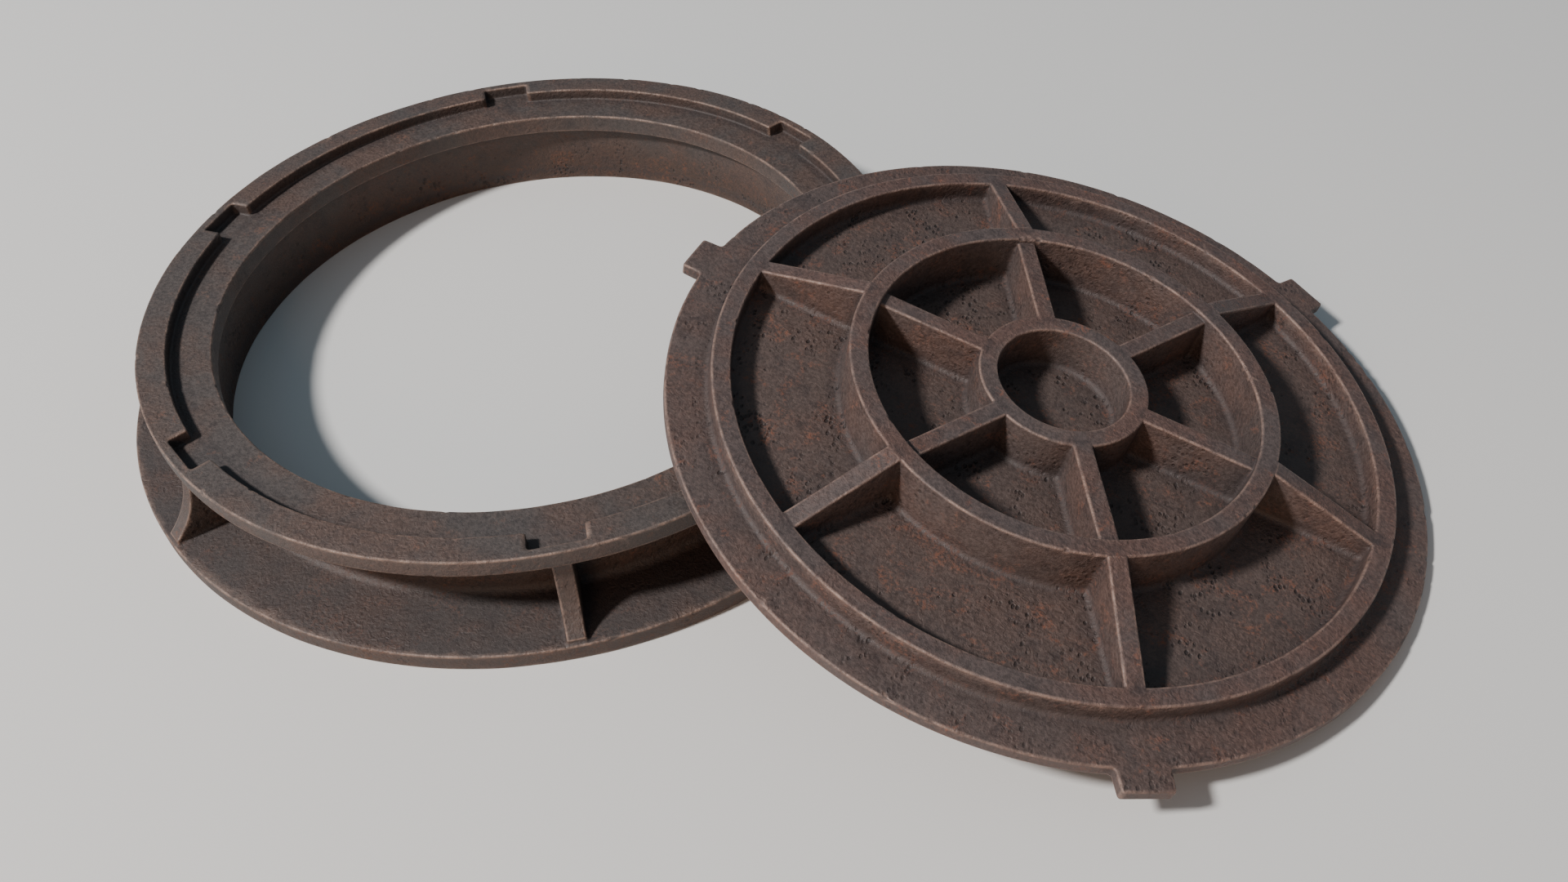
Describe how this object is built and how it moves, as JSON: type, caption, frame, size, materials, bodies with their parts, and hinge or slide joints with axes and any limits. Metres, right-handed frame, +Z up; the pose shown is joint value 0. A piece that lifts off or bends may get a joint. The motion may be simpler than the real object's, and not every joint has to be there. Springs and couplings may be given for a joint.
{
  "type": "manhole cover",
  "caption": "Round cast-iron manhole frame with a notched kerb, and its ribbed, lugged cover lying upside down against it, free to lift off.",
  "frame": {"origin": "on the frame's axis, in the plane of its bedding face", "axes": "+Z up along the frame's axis, +X from the frame towards the cover that leans on it"},
  "size_m": [1.241, 0.79, 0.1643],
  "materials": {
    "frame_iron": "rough sand-cast surface, brown-grey weathered skin, worn paler edges, fine rust specks",
    "cover_iron": "rough sand-cast surface, brown-grey weathered skin, worn paler edges, orange rust on the sheltered plate between the ribs"
  },
  "bodies": {
    "frame": {"base_flange": "frame_iron", "neck_wall": "frame_iron", "seat_ring": "frame_iron", "kerb_flange": "frame_iron", "kerb_ring": "frame_iron", "gusset_1": "frame_iron", "gusset_2": "frame_iron", "gusset_3": "frame_iron", "gusset_4": "frame_iron", "gusset_5": "frame_iron", "gusset_6": "frame_iron"},
    "cover": {"cover_plate": "cover_iron", "edge_band": "cover_iron", "tread_ring": "cover_iron", "tread_boss": "cover_iron", "tread_blocks": "cover_iron", "outer_ring": "cover_iron", "middle_ring": "cover_iron", "hub_ring": "cover_iron", "outer_spoke_1": "cover_iron", "outer_spoke_2": "cover_iron", "outer_spoke_3": "cover_iron", "outer_spoke_4": "cover_iron", "outer_spoke_5": "cover_iron", "outer_spoke_6": "cover_iron", "inner_spoke_1": "cover_iron", "inner_spoke_2": "cover_iron", "inner_spoke_3": "cover_iron", "inner_spoke_4": "cover_iron", "inner_spoke_5": "cover_iron", "inner_spoke_6": "cover_iron", "lug_1": "cover_iron", "lug_2": "cover_iron", "lug_3": "cover_iron"}
  },
  "joints": [
    {"name": "cover_lift", "type": "slide", "parent": "frame", "child": "cover", "axis": [0, 0, 1], "range_m": [0, 0.3]}
  ]
}
